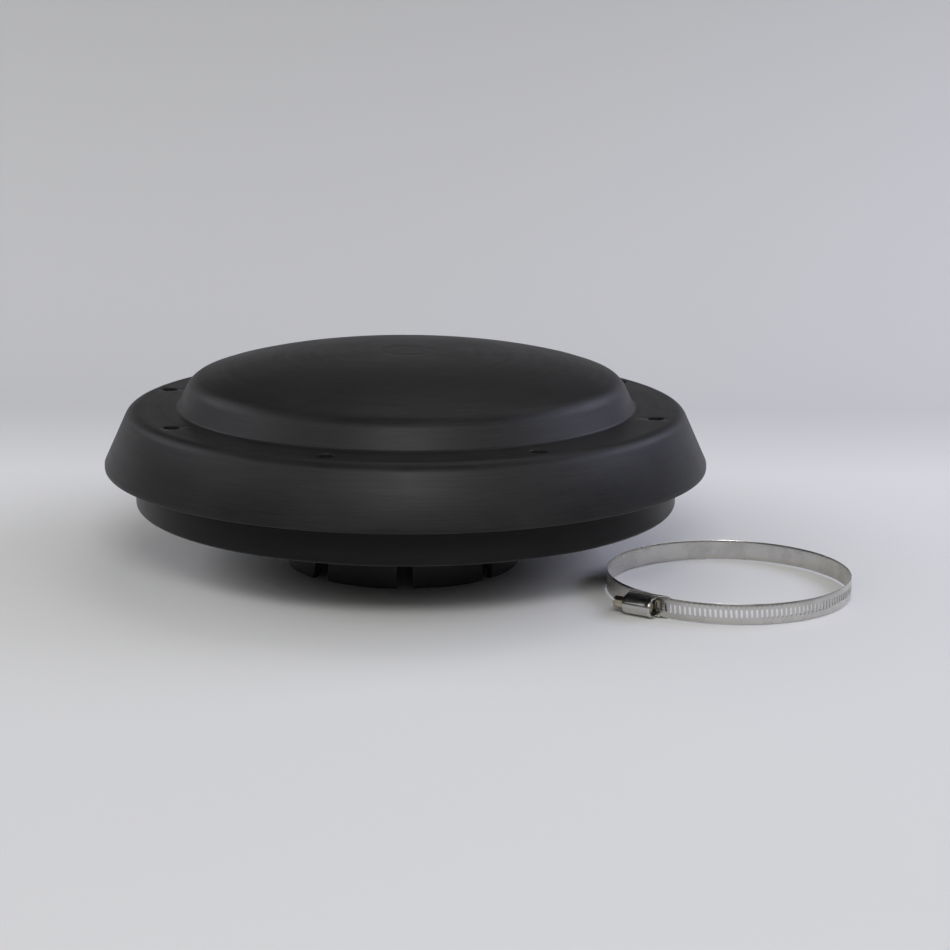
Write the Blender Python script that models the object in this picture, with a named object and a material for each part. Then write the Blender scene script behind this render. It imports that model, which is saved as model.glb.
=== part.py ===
"""Mushroom vent hood with a slotted pipe collar, and the loose worm-drive hose clamp that
closes the collar on its pipe.

Frame: metres, +Z up.  The hood's axis is X = Y = 0 and the floor it stands on is Z = 0.
"""
import math

import bmesh
import bpy
from mathutils import Vector

# ------------------------------------------------------------------ driving dimensions
GAP = 0.0003                    # left between faces that touch
TURN_STEPS = 64                 # facets round the big mouldings
ON_AXIS = 1e-7                  # a profile point nearer the axis than this lies on it

WALL = 0.003                    # moulded wall
CROWN_TOP = 0.1402              # height of the dome's centre
CROWN_R, CROWN_FALL = 0.1477, 0.0192            # the crown would have fallen this far at this radius
CROWN_POWER = 2.8               # flat centre, falling faster towards the shoulder
CROWN_SHARE = 0.86              # of that radius, where the crown runs into the shoulder's arc
SHOULDER_R, SHOULDER_Z = 0.1405, 0.1231
SHOULDER_ROUND = 0.0156
FOOT_R = 0.1493                 # foot of the dome's sloping side
FOOT_ROUND = 0.0012
FLANGE_Z = 0.1049               # top of the bolted flange
CORNER_R = 0.1807
CORNER_ROUND = 0.0090
RIM_R, RIM_TOP_Z, RIM_Z = 0.1967, 0.0697, 0.0663

PAN_R = 0.177                   # outside of the lower housing
PAN_Z = 0.0415                  # its underside
PAN_TOP_Z = 0.086
PAN_ROUND = 0.0025
GROOVE_DEPTH = 0.0018           # groove in the wall's top edge that the screen stands in
GROOVE_LIP = 0.0007

TUBE_R = 0.075                  # outside of the outlet tube
TUBE_WALL = 0.0045
THROAT_Z = 0.088
THROAT_STEP = 0.0015            # how much thinner the throat's wall is than the collar's
COLLAR_CHAMFER = 0.001
TUBE_FLANGE_R = 0.086
SLOT_COUNT = 8
SLOT_WIDTH = 0.010
SLOT_TOP_Z = 0.033
SLOT_ANGLE = math.radians(271)

SCREEN_TOP_Z = 0.1003
SCREEN_R = 0.17605
SCREEN_THICK = 0.0008
SCREEN_WINDOWS = 48
SCREEN_BAR_SHARE = 0.36         # solid share of each column of the ring
SCREEN_SILL, SCREEN_HEAD = 0.0006, 0.0015       # solid edge above the groove and at the top

SCREW_COUNT = 8
SCREW_CIRCLE_R = 0.166
SCREW_ANGLE = math.radians(30)
POCKET_R, POCKET_TUBE_R = 0.00525, 0.008
POCKET_FLOOR_Z, POCKET_BOTTOM_Z = 0.093, 0.090
POCKET_TUBE_SUNK = 0.0012       # how far below the flange's face a pocket's tube begins
POST_R = 0.0085
POST_BOTTOM_Z, POST_HOLE_Z, INSERT_SEAT_Z = 0.0435, 0.066, 0.0775
SHANK_R, HEAD_R, HEAD_H = 0.0025, 0.0047, 0.0032
HEAD_TOP_R, HEAD_EDGE_H = 0.0029, 0.00145       # flat of the domed head, and its upright edge
SOCKET_R, SOCKET_DEPTH = 0.0017, 0.0018
SHANK_Z = 0.0700
INSERT_R, INSERT_BORE_R = 0.0038, 0.0028

LOOP_CENTRE = Vector((0.206, -0.074))           # the clamp lies on the floor beside the hood
LOOP_R = 0.0785                 # outside of the slotted band at the worm housing
BAND_Z = 0.0008                 # the saddle's lower edge is what touches the floor
BAND_H, BAND_THICK = 0.0127, 0.0006
LAYER_STEP = 0.0022             # how far the inner layer lies inside the outer one
FOOT_ANGLE = math.radians(237)  # where the slotted band leaves the loop for the worm housing
WORM_PITCH = 0.003175
BAND_SLOT_H, BAND_SLOT_W = 0.0057, 0.0015
SLOT_LEAN = 0.00035             # shift of a slot between its lower and upper end
SLOTS_IN_TAIL, SLOTS_ON_LOOP = 7, 52

AXIS_OUT = 0.0045               # worm's axis to the outer face of the slotted band
BARREL_R, BARREL_WALL = 0.0060, 0.0010
BARREL_FROM, BARREL_TO = 0.0074, 0.0265         # along the worm's axis from the band's foot
SHOULDER_OUT = -0.0015          # where the half round widens into the legs
END_WALL_R, END_WALL_HALF = 0.0056, 0.0055
END_WALL_THICK, END_WALL_INSET = 0.0013, 0.0002
LEG_HALF, LEG_THICK = 0.00635, 0.0010           # legs that stand on the band's two edges
WORM_R, WORM_FROM = 0.0041, 0.0086
WORM_TIP_R, WORM_TIP_L = 0.00225, 0.00125
NECK_R, NECK_CLEARANCE = 0.0028, 0.0003
COLLAR_R, HEX_FROM, HEX_TO = 0.0040, 0.0283, 0.0345
HEX_ACROSS_FLATS = 0.0066
DRIVE_SLOT_W, DRIVE_SLOT_DEPTH = 0.0011, 0.0018
SADDLE_SHEET, SADDLE_DROP = 0.0005, 0.0014      # plate under the slotted band, and how far in
SADDLE_FROM, SADDLE_RISE = 0.0006, 0.0019

COLOURS = {                     # base colour, metallic, roughness
    "cover_plastic": ((0.018, 0.018, 0.020, 1.0), 0.0, 0.45),
    "housing_plastic": ((0.014, 0.014, 0.015, 1.0), 0.0, 0.50),
    "screen_steel": ((0.10, 0.10, 0.10, 1.0), 0.9, 0.45),
    "screw_steel": ((0.06, 0.06, 0.06, 1.0), 0.9, 0.40),
    "insert_brass": ((0.60, 0.42, 0.16, 1.0), 1.0, 0.35),
    "clamp_steel": ((0.58, 0.57, 0.55, 1.0), 1.0, 0.28),
    "worm_steel": ((0.52, 0.48, 0.40, 1.0), 1.0, 0.32),
}


# ------------------------------------------------------------------ helpers
def material(name):
    """The Principled material of one colour entry, made once."""
    if name in bpy.data.materials:
        return bpy.data.materials[name]
    mat = bpy.data.materials.new(name)
    mat.use_nodes = True
    shader = mat.node_tree.nodes["Principled BSDF"]
    colour, metallic, roughness = COLOURS[name]
    shader.inputs["Base Color"].default_value = colour
    shader.inputs["Metallic"].default_value = metallic
    shader.inputs["Roughness"].default_value = roughness
    return mat


def add_object(name, mesh, material_name=None, parent=None):
    """Link a mesh as an object; without a material it is a hidden cutter."""
    obj = bpy.data.objects.new(name, mesh)
    bpy.context.scene.collection.objects.link(obj)
    if parent is not None:
        obj.parent = parent
    if material_name is None:
        obj.hide_render = True
        obj.display_type = 'WIRE'
    else:
        mesh.materials.append(material(material_name))
        mesh.shade_smooth()
        mesh.set_sharp_from_angle(angle=math.radians(35))
    return obj


def mesh_from(name, points, faces):
    """A mesh from points and faces, with its normals pointing out."""
    mesh = bpy.data.meshes.new(name)
    mesh.from_pydata([tuple(p) for p in points], [], faces)
    shape = bmesh.new()
    shape.from_mesh(mesh)
    bmesh.ops.recalc_face_normals(shape, faces=shape.faces)
    shape.to_mesh(mesh)
    shape.free()
    return mesh


def rounded(corners, steps=4):
    """Points along (r, z, fillet) corners, each fillet replaced by an arc."""
    points = []
    for i, (r, z, fillet) in enumerate(corners):
        here = Vector((r, z))
        if fillet == 0:
            points.append(here)
            continue
        before = (Vector(corners[i - 1][:2]) - here).normalized()
        after = (Vector(corners[(i + 1) % len(corners)][:2]) - here).normalized()
        half = before.angle(after) / 2
        centre = here + (before + after).normalized() * fillet / math.sin(half)
        start = here + before * fillet / math.tan(half) - centre
        end = here + after * fillet / math.tan(half) - centre
        sweep = math.atan2(start.x * end.y - start.y * end.x, start.dot(end))
        for k in range(steps + 1):
            angle = sweep * k / steps
            turned_x = start.x * math.cos(angle) - start.y * math.sin(angle)
            turned_y = start.x * math.sin(angle) + start.y * math.cos(angle)
            points.append(centre + Vector((turned_x, turned_y)))
    return points


def inset(points, distance):
    """The open line of points moved sideways, to the right of its direction."""
    moved = []
    for i, point in enumerate(points):
        before = (point - points[i - 1]).normalized() if i else Vector((0, 0))
        after = (points[i + 1] - point).normalized() if i + 1 < len(points) else Vector((0, 0))
        along = (before + after).normalized()
        share = 1.0 if i in (0, len(points) - 1) else before.dot(along)
        moved.append(point + Vector((along.y, -along.x)) * distance / share)
    return moved


def turned(name, profile, steps=TURN_STEPS, centre=(0.0, 0.0)):
    """Turn a closed profile of (r, z) points about the vertical line through centre."""
    points = []
    rings = []
    for r, z in profile:
        if r < ON_AXIS:
            rings.append([len(points)] * steps)
            points.append((centre[0], centre[1], z))
            continue
        rings.append(list(range(len(points), len(points) + steps)))
        for k in range(steps):
            angle = 2 * math.pi * k / steps
            x = centre[0] + r * math.cos(angle)
            y = centre[1] + r * math.sin(angle)
            points.append((x, y, z))
    faces = []
    for ring, following in zip(rings, rings[1:] + rings[:1]):
        for k in range(steps):
            after = (k + 1) % steps
            corners = [ring[k], ring[after], following[after], following[k]]
            face = list(dict.fromkeys(corners))
            if len(face) > 2:
                faces.append(face)
    return mesh_from(name, points, faces)


def cylinder(name, radius, low, high, centre, steps=24):
    """A plain upright cylinder."""
    profile = [(0.0, high), (radius, high), (radius, low), (0.0, low)]
    return turned(name, profile, steps, centre)


def block(name, low, high):
    """A box between two corners, in its object's own axes."""
    points = []
    for x in (low[0], high[0]):
        for y in (low[1], high[1]):
            for z in (low[2], high[2]):
                points.append((x, y, z))
    faces = [(0, 1, 3, 2), (4, 6, 7, 5), (0, 4, 5, 1), (2, 3, 7, 6), (0, 2, 6, 4), (1, 5, 7, 3)]
    return mesh_from(name, points, faces)


def boolean(obj, tool, operation):
    """Join the tool to the object or cut it away."""
    modifier = obj.modifiers.new(tool.name, 'BOOLEAN')
    modifier.operation = operation
    modifier.solver = 'EXACT'
    modifier.object = tool


def screw_places():
    """Plan positions of the eight cover screws."""
    for k in range(SCREW_COUNT):
        angle = SCREW_ANGLE + 2 * math.pi * k / SCREW_COUNT
        yield k + 1, (SCREW_CIRCLE_R * math.cos(angle), SCREW_CIRCLE_R * math.sin(angle))


# ------------------------------------------------------------------ hood
def make_top_cover():
    """Dome, bolted flange and flared skirt, one moulded shell with eight screw pockets."""
    def shell_line(crown_steps, arc_steps):
        """Outside of the cover from the dome's centre to the skirt's lower edge."""
        crown = []
        for k in range(crown_steps):
            share = CROWN_SHARE * k / (crown_steps - 1)
            drop = CROWN_FALL * share ** CROWN_POWER
            crown.append(Vector((CROWN_R * share, CROWN_TOP - drop)))
        corners = [
            (crown[-1].x, crown[-1].y, 0),
            (SHOULDER_R, SHOULDER_Z, SHOULDER_ROUND),
            (FOOT_R, FLANGE_Z, FOOT_ROUND),
            (CORNER_R, FLANGE_Z, CORNER_ROUND),
            (RIM_R, RIM_TOP_Z, 0),
            (RIM_R, RIM_Z, 0),
        ]
        return crown[:-1] + rounded(corners, arc_steps)

    outer = shell_line(6, 3)
    inner = inset(shell_line(4, 2)[:-1], WALL)
    inner[0].x = 0.0
    inner.append(Vector((RIM_R - WALL, RIM_Z)))
    profile = [tuple(p) for p in outer + inner[::-1]]
    cover = add_object("top_cover", turned("top_cover", profile), "cover_plastic")
    tube_top = FLANGE_Z - POCKET_TUBE_SUNK
    for number, place in screw_places():
        tube = cylinder("pocket_tube", POCKET_TUBE_R, POCKET_BOTTOM_Z, tube_top, place)
        boolean(cover, add_object(f"pocket_tube_{number}", tube), 'UNION')
    pocket = [
        (0.0, FLANGE_Z + WALL),
        (POCKET_R, FLANGE_Z + WALL),
        (POCKET_R, POCKET_FLOOR_Z),
        (SHANK_R + GAP, POCKET_FLOOR_Z),
        (SHANK_R + GAP, POCKET_BOTTOM_Z - WALL),
        (0.0, POCKET_BOTTOM_Z - WALL),
    ]
    for number, place in screw_places():
        cutter = add_object(f"pocket_{number}", turned("pocket", pocket, 16, place))
        boolean(cover, cutter, 'DIFFERENCE')


def make_base_pan():
    """Flat-bottomed pan under the cover, with a post under each screw."""
    hub_r = TUBE_R + GAP
    inside_r = PAN_R - WALL
    groove_z = PAN_TOP_Z - GROOVE_DEPTH
    corners = [
        (hub_r, PAN_Z + WALL, 0),
        (inside_r, PAN_Z + WALL, 0),
        (inside_r, PAN_TOP_Z, 0),
        (inside_r + GROOVE_LIP, PAN_TOP_Z, 0),
        (inside_r + GROOVE_LIP, groove_z, 0),
        (PAN_R - GROOVE_LIP, groove_z, 0),
        (PAN_R - GROOVE_LIP, PAN_TOP_Z, 0),
        (PAN_R, PAN_TOP_Z, 0),
        (PAN_R, PAN_Z, PAN_ROUND),
        (hub_r, PAN_Z, 0),
    ]
    profile = [tuple(p) for p in rounded(corners, 2)]
    pan = add_object("base_pan", turned("base_pan", profile), "housing_plastic")
    post_top = POCKET_BOTTOM_Z - GAP
    post = [
        (0.0, POST_HOLE_Z),
        (SHANK_R + GAP, POST_HOLE_Z),
        (SHANK_R + GAP, INSERT_SEAT_Z),
        (INSERT_R + GAP, INSERT_SEAT_Z),
        (INSERT_R + GAP, post_top),
        (POST_R, post_top),
        (POST_R, POST_BOTTOM_Z),
        (0.0, POST_BOTTOM_Z),
    ]
    for number, place in screw_places():
        tool = add_object(f"post_{number}", turned("post", post, 20, place))
        boolean(pan, tool, 'UNION')


def make_outlet_tube():
    """Slotted collar below the pan and rain throat above it, with a flange on the pan's floor."""
    bore_r = TUBE_R - TUBE_WALL
    throat_r = TUBE_R - THROAT_STEP
    seat_z = PAN_Z + WALL + GAP
    profile = [
        (bore_r, THROAT_Z),
        (throat_r, THROAT_Z),
        (throat_r, seat_z + WALL),
        (TUBE_FLANGE_R, seat_z + WALL),
        (TUBE_FLANGE_R, seat_z),
        (TUBE_R, seat_z),
        (TUBE_R, COLLAR_CHAMFER),
        (TUBE_R - COLLAR_CHAMFER, 0.0),
        (bore_r + COLLAR_CHAMFER, 0.0),
        (bore_r, COLLAR_CHAMFER),
    ]
    tube = add_object("outlet_tube", turned("outlet_tube", profile), "housing_plastic")
    for k in range(SLOT_COUNT):
        low = (bore_r - TUBE_WALL, -SLOT_WIDTH / 2, -WALL)
        high = (TUBE_R + TUBE_WALL, SLOT_WIDTH / 2, SLOT_TOP_Z)
        slot = add_object(f"collar_slot_{k + 1}", block("slot", low, high))
        slot.rotation_euler.z = SLOT_ANGLE + 2 * math.pi * k / SLOT_COUNT
        boolean(tube, slot, 'DIFFERENCE')


def windowed_shell(name, sections, heights, open_columns):
    """A thin upright strip: sections are (inner, outer) plan points along it.  Between two
    heights in the middle, the columns listed in open_columns are windows through the strip."""
    closed = sections[0] is sections[-1]
    count = len(sections) - 1 if closed else len(sections)
    rows = len(heights)
    points = []
    for inner, outer, lean in sections[:count]:
        for side in (inner, outer):
            for row, z in enumerate(heights):
                middle = 1 if row == 1 else (-1 if row == 2 else 0)
                points.append((side.x + lean.x * middle, side.y + lean.y * middle, z))

    def at(section, side, row):
        return ((section % count) * 2 + side) * rows + row

    faces = []
    for i in range(len(sections) - 1):
        for row in range(rows - 1):
            if row == 1 and i in open_columns:
                continue
            for side in (0, 1):
                faces.append((at(i, side, row), at(i + 1, side, row),
                              at(i + 1, side, row + 1), at(i, side, row + 1)))
        for row in (0, rows - 1):
            faces.append((at(i, 0, row), at(i + 1, 0, row), at(i + 1, 1, row), at(i, 1, row)))
        if i in open_columns:
            for row in (1, 2):
                faces.append((at(i, 0, row), at(i + 1, 0, row), at(i + 1, 1, row), at(i, 1, row)))
            for end in (i, i + 1):
                faces.append((at(end, 0, 1), at(end, 1, 1), at(end, 1, 2), at(end, 0, 2)))
    if not closed:
        for end in (0, count - 1):
            for row in range(rows - 1):
                faces.append((at(end, 0, row), at(end, 1, row),
                              at(end, 1, row + 1), at(end, 0, row + 1)))
    return mesh_from(name, points, faces)


def make_inlet_screen():
    """Perforated ring that closes the air gap between the pan's wall and the flange."""
    sections = []
    still = Vector((0.0, 0.0))
    bar = SCREEN_BAR_SHARE / 2
    for k in range(SCREEN_WINDOWS):
        for share in (bar, 1 - bar):
            angle = 2 * math.pi * (k + share) / SCREEN_WINDOWS
            ray = Vector((math.cos(angle), math.sin(angle)))
            sections.append((ray * (SCREEN_R - SCREEN_THICK), ray * SCREEN_R, still))
    sections.append(sections[0])
    low = PAN_TOP_Z - GROOVE_DEPTH + GAP
    heights = [low, PAN_TOP_Z + SCREEN_SILL, SCREEN_TOP_Z - SCREEN_HEAD, SCREEN_TOP_Z]
    windows = set(range(0, SCREEN_WINDOWS * 2, 2))
    mesh = windowed_shell("inlet_screen", sections, heights, windows)
    add_object("inlet_screen", mesh, "screen_steel")


def make_fasteners():
    """Eight cover screws and the brass inserts they run into."""
    head_low = POCKET_FLOOR_Z + GAP
    head_high = head_low + HEAD_H
    screw_profile = [
        (0.0, head_high - SOCKET_DEPTH),
        (SOCKET_R, head_high - SOCKET_DEPTH),
        (SOCKET_R, head_high),
        (HEAD_TOP_R, head_high),
        (HEAD_R, head_low + HEAD_EDGE_H),
        (HEAD_R, head_low),
        (SHANK_R, head_low),
        (SHANK_R, SHANK_Z),
        (0.0, SHANK_Z),
    ]
    insert_low = INSERT_SEAT_Z + GAP
    insert_high = POCKET_BOTTOM_Z - 2 * GAP
    insert_profile = [
        (INSERT_BORE_R, insert_high),
        (INSERT_R, insert_high),
        (INSERT_R, insert_low),
        (INSERT_BORE_R, insert_low),
    ]
    for number, place in screw_places():
        screw = turned("cover_screw", screw_profile, 12, place)
        add_object(f"cover_screw_{number}", screw, "screw_steel")
        insert = turned("threaded_insert", insert_profile, 12, place)
        add_object(f"threaded_insert_{number}", insert, "insert_brass")


# ------------------------------------------------------------------ hose clamp
def loop_point(turned_angle, offset=0.0):
    """Plan point on the band's outer face, turned_angle clockwise (from above) round from the
    end of the inner layer; the loop is a spiral, so its two ends overlap in two layers."""
    angle = FOOT_ANGLE - turned_angle
    radius = LOOP_R - LAYER_STEP * (1 - turned_angle / (2 * math.pi)) + offset
    return LOOP_CENTRE + radius * Vector((math.cos(angle), math.sin(angle)))


FOOT_OUT = Vector((math.cos(FOOT_ANGLE), math.sin(FOOT_ANGLE)))
FOOT_ALONG = Vector((FOOT_OUT.y, -FOOT_OUT.x))          # the way the tail runs
FOOT = loop_point(2 * math.pi)
HINGE = loop_point(math.pi, -BAND_THICK / 2)            # far side, where the band flexes
UPRIGHT = Vector((0.0, 0.0))                            # the lean of a straight-edged section


def band_heights():
    """Rows of a slotted band, bottom to top."""
    border = (BAND_H - BAND_SLOT_H) / 2
    return [0.0, border, BAND_H - border, BAND_H]


def pivot(name, place, height):
    """An empty at a plan place and height, with the frame's own axes."""
    obj = bpy.data.objects.new(name, None)
    obj.location = (place.x, place.y, height)
    bpy.context.scene.collection.objects.link(obj)
    return obj


def worm_axis(name, along):
    """An empty on the worm's axis: local X away from the loop, Y up, Z along the axis."""
    place = FOOT + FOOT_ALONG * along + FOOT_OUT * AXIS_OUT
    obj = pivot(name, place, BAND_Z + BAND_H / 2)
    obj.rotation_euler = Vector((*FOOT_ALONG, 0.0)).to_track_quat('Z', 'Y').to_euler()
    return obj


def make_band_plain(loop):
    """The half of the band that is fixed under the worm housing: no slots."""
    end = math.pi - 0.5 * GAP / LOOP_R
    steps = 28
    sections = []
    for k in range(steps + 1):
        here = end * k / steps
        inner = loop_point(here, -BAND_THICK) - LOOP_CENTRE
        sections.append((inner, loop_point(here) - LOOP_CENTRE, UPRIGHT))
    mesh = windowed_shell("clamp_band_plain", sections, [0.0, BAND_H], set())
    add_object("clamp_band_plain", mesh, "clamp_steel", loop)


def make_band_slotted(hinge):
    """The half of the band that bends in as the worm pulls its slots along."""
    start = math.pi + 0.5 * GAP / LOOP_R
    end = 2 * math.pi - GAP / LOOP_R
    pitch = WORM_PITCH / LOOP_R
    slots_start = 2 * math.pi - SLOTS_ON_LOOP * pitch
    plain_steps = 10
    marks = [(start + (slots_start - start) * k / plain_steps, 0.0) for k in range(plain_steps)]
    windows = set()
    for k in range(SLOTS_ON_LOOP):
        middle = slots_start + (k + 0.5) * pitch
        half = 0.5 * BAND_SLOT_W / LOOP_R
        windows.add(len(marks))
        marks += [(middle - half, SLOT_LEAN / 2), (middle + half, SLOT_LEAN / 2)]
    marks.append((end, 0.0))
    sections = []
    for here, lean in marks:
        angle = FOOT_ANGLE - here
        sideways = lean * Vector((math.sin(angle), -math.cos(angle)))
        inner = loop_point(here, -BAND_THICK) - HINGE
        sections.append((inner, loop_point(here) - HINGE, sideways))
    mesh = windowed_shell("clamp_band_slotted", sections, band_heights(), windows)
    add_object("clamp_band_slotted", mesh, "clamp_steel", hinge)


def make_band_tail(foot):
    """The straight end of the slotted band, between the worm and the saddle's plate."""
    marks = [(GAP, 0.0)]
    windows = set()
    for k in range(SLOTS_IN_TAIL):
        middle = (k + 0.5) * WORM_PITCH
        windows.add(len(marks))
        marks.append((middle - BAND_SLOT_W / 2, SLOT_LEAN / 2))
        marks.append((middle + BAND_SLOT_W / 2, SLOT_LEAN / 2))
    marks.append((SLOTS_IN_TAIL * WORM_PITCH + GAP, 0.0))
    sections = []
    for along, lean in marks:
        outer = FOOT_ALONG * along
        sections.append((outer - FOOT_OUT * BAND_THICK, outer, FOOT_ALONG * lean))
    mesh = windowed_shell("clamp_band_tail", sections, band_heights(), windows)
    add_object("clamp_band_tail", mesh, "clamp_steel", foot)


def channel(name, section, low, high):
    """Extrude a closed (out, up) section along local Z."""
    points = [(out, up, along) for along in (low, high) for out, up in section]
    count = len(section)
    faces = [tuple(range(count)), tuple(range(count, 2 * count))]
    for k in range(count):
        after = (k + 1) % count
        faces.append((k, after, count + after, count + k))
    return mesh_from(name, points, faces)


def make_clamp_housing(axis):
    """Half-round barrel over the worm, its two legs standing on the slotted band's edges."""
    arc_steps = 12
    inner_r = BARREL_R - BARREL_WALL
    leg_low = -AXIS_OUT + GAP
    section = [(leg_low, LEG_HALF), (SHOULDER_OUT, LEG_HALF)]
    for k in range(arc_steps + 1):
        angle = math.pi * k / arc_steps
        section.append((BARREL_R * math.sin(angle), BARREL_R * math.cos(angle)))
    section += [(SHOULDER_OUT, -LEG_HALF), (leg_low, -LEG_HALF)]
    section.append((leg_low, -LEG_HALF + LEG_THICK))
    for k in range(arc_steps + 1):
        angle = math.pi * (1 - k / arc_steps)
        section.append((inner_r * math.sin(angle), inner_r * math.cos(angle)))
    section.append((leg_low, LEG_HALF - LEG_THICK))
    length = BARREL_TO - BARREL_FROM
    mesh = channel("clamp_housing", section, 0.0, length)
    housing = add_object("clamp_housing", mesh, "clamp_steel", axis)
    end_wall = [(leg_low, END_WALL_HALF)]
    for k in range(arc_steps + 1):
        angle = math.pi * k / arc_steps
        end_wall.append((END_WALL_R * math.sin(angle), END_WALL_R * math.cos(angle)))
    end_wall.append((leg_low, -END_WALL_HALF))
    wall_top = length - END_WALL_INSET
    wall_mesh = channel("end_wall", end_wall, wall_top - END_WALL_THICK, wall_top)
    boolean(housing, add_object("end_wall", wall_mesh, parent=axis), 'UNION')
    neck_hole = cylinder("neck_hole", NECK_R + NECK_CLEARANCE, length / 2, 2 * length, (0, 0))
    boolean(housing, add_object("neck_hole", neck_hole, parent=axis), 'DIFFERENCE')


def make_clamp_saddle(axis):
    """Folded plate between the two layers of band, its sides up past the housing's legs."""
    side_in = BAND_H / 2 + GAP
    side_out = side_in + SADDLE_SHEET
    plate_top = -AXIS_OUT - SADDLE_DROP
    plate_low = plate_top - SADDLE_SHEET
    side_high = -AXIS_OUT + SADDLE_RISE
    section = [
        (side_high, side_out), (side_high, side_in), (plate_top, side_in),
        (plate_top, -side_in), (side_high, -side_in), (side_high, -side_out),
        (plate_low, -side_out), (plate_low, side_out),
    ]
    low = SADDLE_FROM - BARREL_FROM
    mesh = channel("clamp_saddle", section, low, BARREL_TO - BARREL_FROM)
    add_object("clamp_saddle", mesh, "clamp_steel", axis)


def make_clamp_screw(axis):
    """Worm with a slotted hexagon head; the worm's thread is a plain cylinder here."""
    start = WORM_FROM - BARREL_FROM
    shoulder = BARREL_TO - BARREL_FROM - END_WALL_INSET - END_WALL_THICK - GAP
    outside = BARREL_TO - BARREL_FROM + GAP
    head = HEX_FROM - BARREL_FROM
    profile = [
        (0.0, start),
        (WORM_TIP_R, start),
        (WORM_R, start + WORM_TIP_L),
        (WORM_R, shoulder),
        (NECK_R, shoulder),
        (NECK_R, outside),
        (COLLAR_R, outside),
        (COLLAR_R, head + GAP),
        (0.0, head + GAP),
    ]
    screw = add_object("clamp_screw", turned("clamp_screw", profile, 24), "worm_steel", axis)
    hexagon = []
    for k in range(6):
        angle = math.pi * (k + 0.5) / 3
        corner_r = HEX_ACROSS_FLATS / 2 / math.cos(math.pi / 6)
        hexagon.append((corner_r * math.cos(angle), corner_r * math.sin(angle)))
    hex_end = HEX_TO - BARREL_FROM
    hex_mesh = channel("hexagon", hexagon, head - GAP, hex_end)
    boolean(screw, add_object("hexagon", hex_mesh, parent=axis), 'UNION')
    low = (-HEX_ACROSS_FLATS, -DRIVE_SLOT_W / 2, hex_end - DRIVE_SLOT_DEPTH)
    high = (HEX_ACROSS_FLATS, DRIVE_SLOT_W / 2, hex_end + DRIVE_SLOT_DEPTH)
    drive_slot = add_object("drive_slot", block("drive_slot", low, high), parent=axis)
    boolean(screw, drive_slot, 'DIFFERENCE')


def main():
    """Clear the scene, then make the hood and the clamp."""
    for obj in list(bpy.data.objects):
        bpy.data.objects.remove(obj, do_unlink=True)
    make_top_cover()
    make_base_pan()
    make_outlet_tube()
    make_inlet_screen()
    make_fasteners()
    make_band_plain(pivot("clamp_loop", LOOP_CENTRE, BAND_Z))
    make_band_slotted(pivot("band_hinge", HINGE, BAND_Z))
    make_band_tail(pivot("tail_foot", FOOT, BAND_Z))
    axis = worm_axis("worm_axis", BARREL_FROM)
    make_clamp_housing(axis)
    make_clamp_saddle(axis)
    make_clamp_screw(axis)


main()
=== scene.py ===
"""Looks of the mushroom vent hood and its loose hose clamp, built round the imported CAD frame."""
import math

import bmesh
import bpy
from mathutils import Matrix, Vector


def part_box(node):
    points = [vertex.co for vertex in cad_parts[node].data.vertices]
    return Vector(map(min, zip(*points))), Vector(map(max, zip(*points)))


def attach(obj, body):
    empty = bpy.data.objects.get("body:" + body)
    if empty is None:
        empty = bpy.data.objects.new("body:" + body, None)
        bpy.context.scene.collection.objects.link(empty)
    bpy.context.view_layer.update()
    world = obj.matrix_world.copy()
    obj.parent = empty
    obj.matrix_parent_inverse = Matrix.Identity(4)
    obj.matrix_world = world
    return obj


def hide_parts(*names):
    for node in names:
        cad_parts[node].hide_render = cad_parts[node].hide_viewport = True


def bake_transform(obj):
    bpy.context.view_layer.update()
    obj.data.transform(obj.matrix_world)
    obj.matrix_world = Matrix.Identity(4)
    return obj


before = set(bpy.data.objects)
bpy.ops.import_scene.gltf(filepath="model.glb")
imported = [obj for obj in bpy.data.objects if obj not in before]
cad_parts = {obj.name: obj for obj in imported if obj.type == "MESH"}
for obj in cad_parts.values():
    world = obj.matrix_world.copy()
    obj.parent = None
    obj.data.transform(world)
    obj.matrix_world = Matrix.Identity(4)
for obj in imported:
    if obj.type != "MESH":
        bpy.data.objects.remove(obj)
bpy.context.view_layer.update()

MM = 0.001

# ------------------------------------------------------------------ places, from the frame
cover_low, cover_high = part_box("top_cover")
pan_low, pan_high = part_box("base_pan")
screen_low, screen_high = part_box("inlet_screen")
band_low, band_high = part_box("clamp_band_slotted")
RIM_R, RIM_Z = cover_high[0], cover_low[2]
CROWN_TOP = cover_high[2]
PAN_R, PAN_Z = pan_high[0], pan_low[2]
THROAT_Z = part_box("outlet_tube")[1][2]
BAND_Z = band_low[2]
BAND_H = band_high[2] - BAND_Z

# ------------------------------------------------------------------ cover and its screws
WALL = 3 * MM
CLEAR = 4 * MM                                      # how far a cutting tool stands past its part
CROWN_POWER = 2.8
CROWN_R, CROWN_FALL = 147.7 * MM, 19.2 * MM
CROWN_SHARE = 0.86                                  # how far out the crown's own curve runs
SHOULDER = (140.5 * MM, 123.1 * MM, 15.6 * MM)      # radius, height, rounding
FOOT = (149.3 * MM, 104.9 * MM, 2.4 * MM)
CORNER = (180.7 * MM, 104.9 * MM, 9.0 * MM)
FLANGE_Z = FOOT[1]
RIM_TOP_Z = RIM_Z + 3.4 * MM
LIP_ROUND = 1.2 * MM
# radius and depth, in mm, of the very shallow turned ring round the dome's centre
CENTRE_RING = ((0.0, 0.10), (8.0, 0.07), (15.6, 0.02), (16.0, 0.06), (16.6, 0.06), (17.0, 0.0))
CENTRE_RING_END = 18 * MM

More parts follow.
